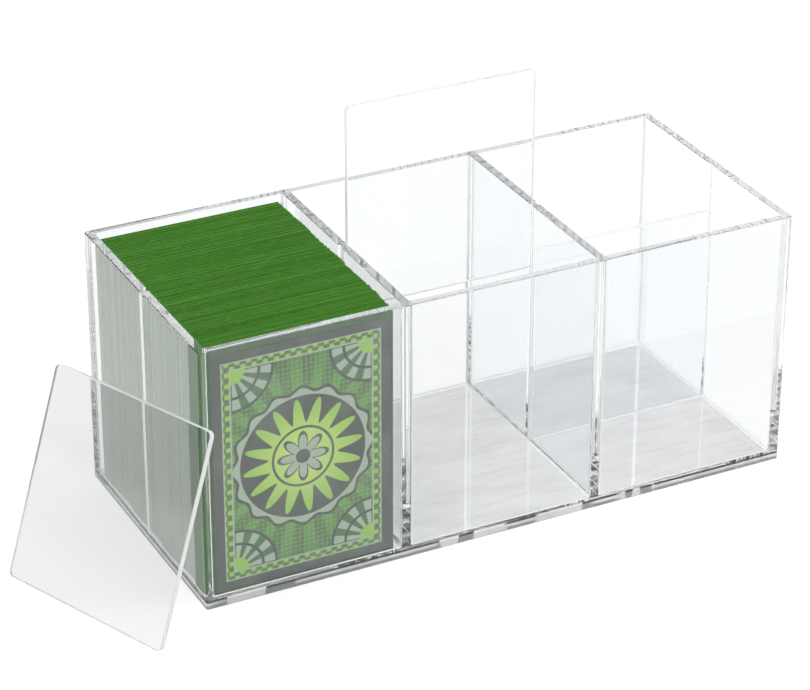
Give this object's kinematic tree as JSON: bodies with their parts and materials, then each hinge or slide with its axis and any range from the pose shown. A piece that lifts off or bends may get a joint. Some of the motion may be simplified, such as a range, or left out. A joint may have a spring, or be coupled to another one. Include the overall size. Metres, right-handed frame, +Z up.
{
  "type": "playing card storage box",
  "caption": "Clear open-top box with side-by-side bays for upright sleeved playing cards, each bay split by a lift-out divider panel in upright grooves",
  "frame": {"origin": "middle of the box's underside, the face it stands on; the leaning divider's foot is on the same ground", "axes": "X runs to the right along the front panel, Y runs to the back panel, Z is up"},
  "size_m": [0.2725, 0.1145, 0.1468],
  "materials": {
    "clear_plate": "clear cast sheet, polished faces and edges",
    "clear_divider": "clear sheet, polished faces and rounded corners",
    "clear_film": "thin clear glossy film",
    "printed_card": "coated printed card, satin",
    "green_film": "thin opaque film",
    "green_sleeves": "stacked thin sleeves with opaque coloured backs"
  },
  "bodies": {
    "box": {"base_plate": "clear_plate", "front_panel": "clear_plate", "back_panel": "clear_plate", "left_wall": "clear_plate", "right_wall": "clear_plate", "left_partition": "clear_plate", "right_partition": "clear_plate"},
    "left_divider": {"left_divider": "clear_divider"},
    "middle_divider": {"middle_divider": "clear_divider"},
    "right_divider": {"right_divider": "clear_divider"},
    "front_sleeved_card": {"front_sleeve_window": "clear_film", "front_card": "printed_card", "front_sleeve_back": "green_film"},
    "card_packet_01": {"card_packet_01": "green_sleeves"},
    "card_packet_02": {"card_packet_02": "green_sleeves"},
    "card_packet_03": {"card_packet_03": "green_sleeves"},
    "card_packet_04": {"card_packet_04": "green_sleeves"},
    "card_packet_05": {"card_packet_05": "green_sleeves"},
    "card_packet_06": {"card_packet_06": "green_sleeves"},
    "card_packet_07": {"card_packet_07": "green_sleeves"},
    "card_packet_08": {"card_packet_08": "green_sleeves"},
    "card_packet_09": {"card_packet_09": "green_sleeves"},
    "card_packet_10": {"card_packet_10": "green_sleeves"}
  },
  "joints": [
    {"name": "left_divider_lift", "type": "slide", "parent": "box", "child": "left_divider", "axis": [0, 0, 1], "range_m": [0, 0.1]},
    {"name": "middle_divider_slide", "type": "slide", "parent": "box", "child": "middle_divider", "axis": [0, 0, 1], "range_m": [-0.0688, 0.03]},
    {"name": "right_divider_slide", "type": "slide", "parent": "box", "child": "right_divider", "axis": [0, 0, 1], "range_m": [0, 0.1]},
    {"name": "front_card_lift", "type": "slide", "parent": "box", "child": "front_sleeved_card", "axis": [0, 0, 1], "range_m": [0, 0.1]},
    {"name": "card_packet_01_lift", "type": "slide", "parent": "box", "child": "card_packet_01", "axis": [0, 0, 1], "range_m": [0, 0.1]},
    {"name": "card_packet_02_lift", "type": "slide", "parent": "box", "child": "card_packet_02", "axis": [0, 0, 1], "range_m": [0, 0.1]},
    {"name": "card_packet_03_lift", "type": "slide", "parent": "box", "child": "card_packet_03", "axis": [0, 0, 1], "range_m": [0, 0.1]},
    {"name": "card_packet_04_lift", "type": "slide", "parent": "box", "child": "card_packet_04", "axis": [0, 0, 1], "range_m": [0, 0.1]},
    {"name": "card_packet_05_lift", "type": "slide", "parent": "box", "child": "card_packet_05", "axis": [0, 0, 1], "range_m": [0, 0.1]},
    {"name": "card_packet_06_lift", "type": "slide", "parent": "box", "child": "card_packet_06", "axis": [0, 0, 1], "range_m": [0, 0.1]},
    {"name": "card_packet_07_lift", "type": "slide", "parent": "box", "child": "card_packet_07", "axis": [0, 0, 1], "range_m": [0, 0.1]},
    {"name": "card_packet_08_lift", "type": "slide", "parent": "box", "child": "card_packet_08", "axis": [0, 0, 1], "range_m": [0, 0.1]},
    {"name": "card_packet_09_lift", "type": "slide", "parent": "box", "child": "card_packet_09", "axis": [0, 0, 1], "range_m": [0, 0.1]},
    {"name": "card_packet_10_lift", "type": "slide", "parent": "box", "child": "card_packet_10", "axis": [0, 0, 1], "range_m": [0, 0.1]}
  ]
}
